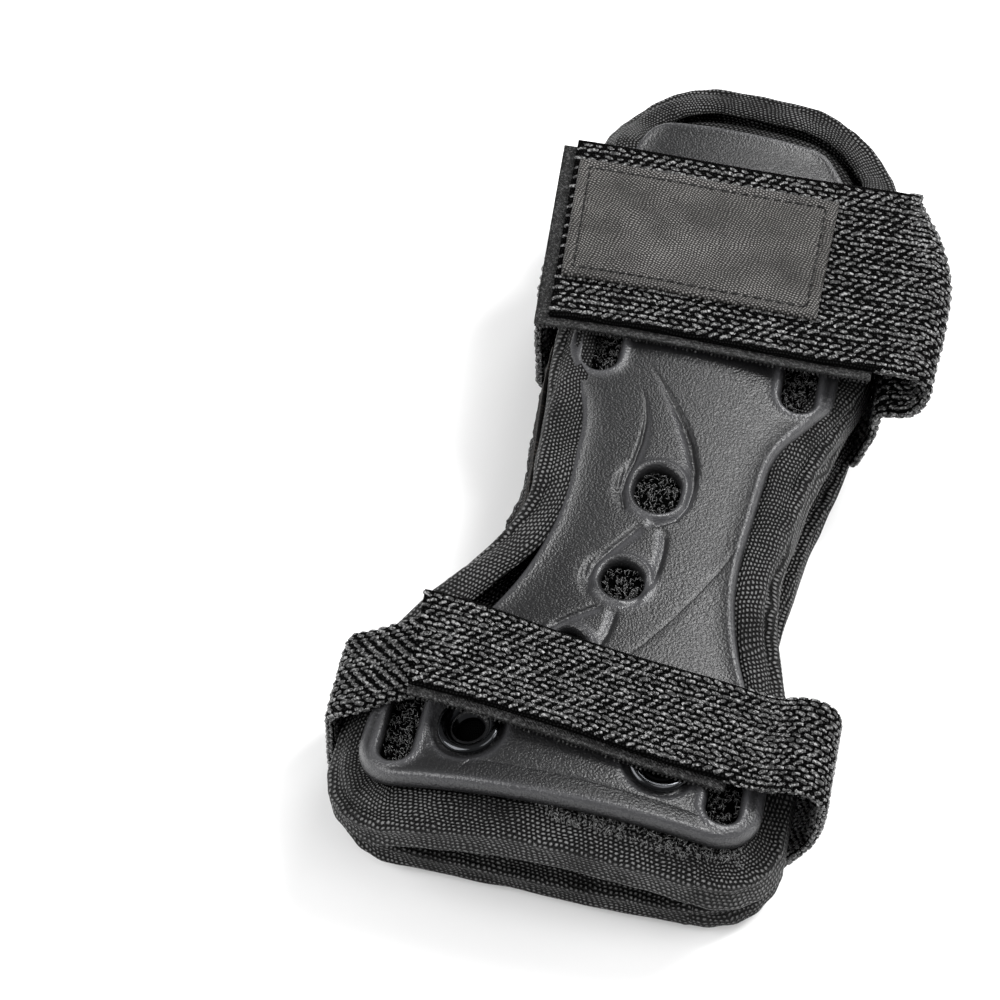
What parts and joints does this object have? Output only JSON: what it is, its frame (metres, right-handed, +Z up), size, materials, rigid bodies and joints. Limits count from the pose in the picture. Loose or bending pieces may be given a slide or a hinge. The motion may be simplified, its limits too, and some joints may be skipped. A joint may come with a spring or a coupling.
{
  "type": "wrist guard",
  "caption": "Black wrist guard with an arched back splint, padded back and palm layers, a flat palm plate, and broad and narrow hook-and-loop straps.",
  "frame": {"origin": "on the flat underside of the palm plate, the face that the guard rests on", "axes": "+Y from the hand towards the forearm, +X towards the open side, +Z up through the back plate"},
  "size_m": [0.1053, 0.197, 0.0443],
  "materials": {
    "back_plate_plastic": "moulded with a fine leather grain",
    "palm_plate_plastic": "smooth moulded",
    "back_eyelet_nickel": "black nickel plated",
    "palm_eyelet_nickel": "bright nickel plated",
    "washer_steel": "plain stamped",
    "binding_twill": "woven ribbed tape",
    "lining_knit": "open knit mesh",
    "pad_fabric": "fine woven over foam",
    "loop_pile": "brushed loop pile",
    "hook_tape": "hook tape with a ribbed edge",
    "label_satin": "satin twill",
    "gusset_fabric": "gathered stretch fabric",
    "wrist_webbing": "coarse woven webbing",
    "hand_webbing": "fine woven webbing"
  },
  "bodies": {
    "palm_side": {"palm_plate": "palm_plate_plastic", "palm_pad": "pad_fabric", "palm_pad_binding": "binding_twill", "palm_lining": "lining_knit", "palm_eyelets": "palm_eyelet_nickel", "palm_eyelet_washers": "washer_steel", "side_gusset": "gusset_fabric", "thumb_hole_binding": "binding_twill", "wrist_strap_anchor": "wrist_webbing", "hand_strap_anchor": "hand_webbing", "hand_strap_tab_base": "hand_webbing", "wrist_strap_tab_base": "wrist_webbing"},
    "back_side": {"back_plate": "back_plate_plastic", "back_pad": "pad_fabric", "back_pad_binding": "binding_twill", "back_lining": "lining_knit", "back_loop_tape": "loop_pile", "hand_end_eyelets": "back_eyelet_nickel", "hand_end_washers": "washer_steel", "wrist_end_eyelets": "back_eyelet_nickel", "wrist_end_washers": "washer_steel", "hand_strap_tab": "hand_webbing", "wrist_strap_tab": "wrist_webbing"},
    "wrist_riser": {"wrist_strap_riser": "wrist_webbing"},
    "wrist_flap": {"wrist_strap_flap": "wrist_webbing", "wrist_strap_hook_tape": "hook_tape", "wrist_strap_label": "label_satin"},
    "hand_riser": {"hand_strap_riser": "hand_webbing"},
    "hand_flap": {"hand_strap_flap": "hand_webbing", "hand_strap_hook_tape": "hook_tape"}
  },
  "joints": [
    {"name": "wrap_opening", "type": "hinge", "parent": "palm_side", "child": "back_side", "pos_m": [-0.0503, 0, 0.026], "axis": [0, -1, 0], "range_deg": [0, 30]},
    {"name": "wrist_strap_swing", "type": "hinge", "parent": "palm_side", "child": "wrist_riser", "pos_m": [0.0445, 0.0535, 0.017], "axis": [0, 1, 0], "range_deg": [0, 90]},
    {"name": "wrist_strap_peel", "type": "hinge", "parent": "wrist_riser", "child": "wrist_flap", "pos_m": [0.0556, 0.0535, 0.037], "axis": [0, 1, 0], "range_deg": [0, 90]},
    {"name": "hand_strap_swing", "type": "hinge", "parent": "palm_side", "child": "hand_riser", "pos_m": [0.0486, -0.06, 0.014], "axis": [0, 1, 0], "range_deg": [0, 90]},
    {"name": "hand_strap_peel", "type": "hinge", "parent": "hand_riser", "child": "hand_flap", "pos_m": [0.0486, -0.06, 0.03422], "axis": [0, 1, 0], "range_deg": [0, 90]}
  ],
  "couplings": [
    {"joint": "wrist_strap_swing", "follows": "wrap_opening", "ratio": 3},
    {"joint": "hand_strap_swing", "follows": "wrap_opening", "ratio": 3}
  ]
}
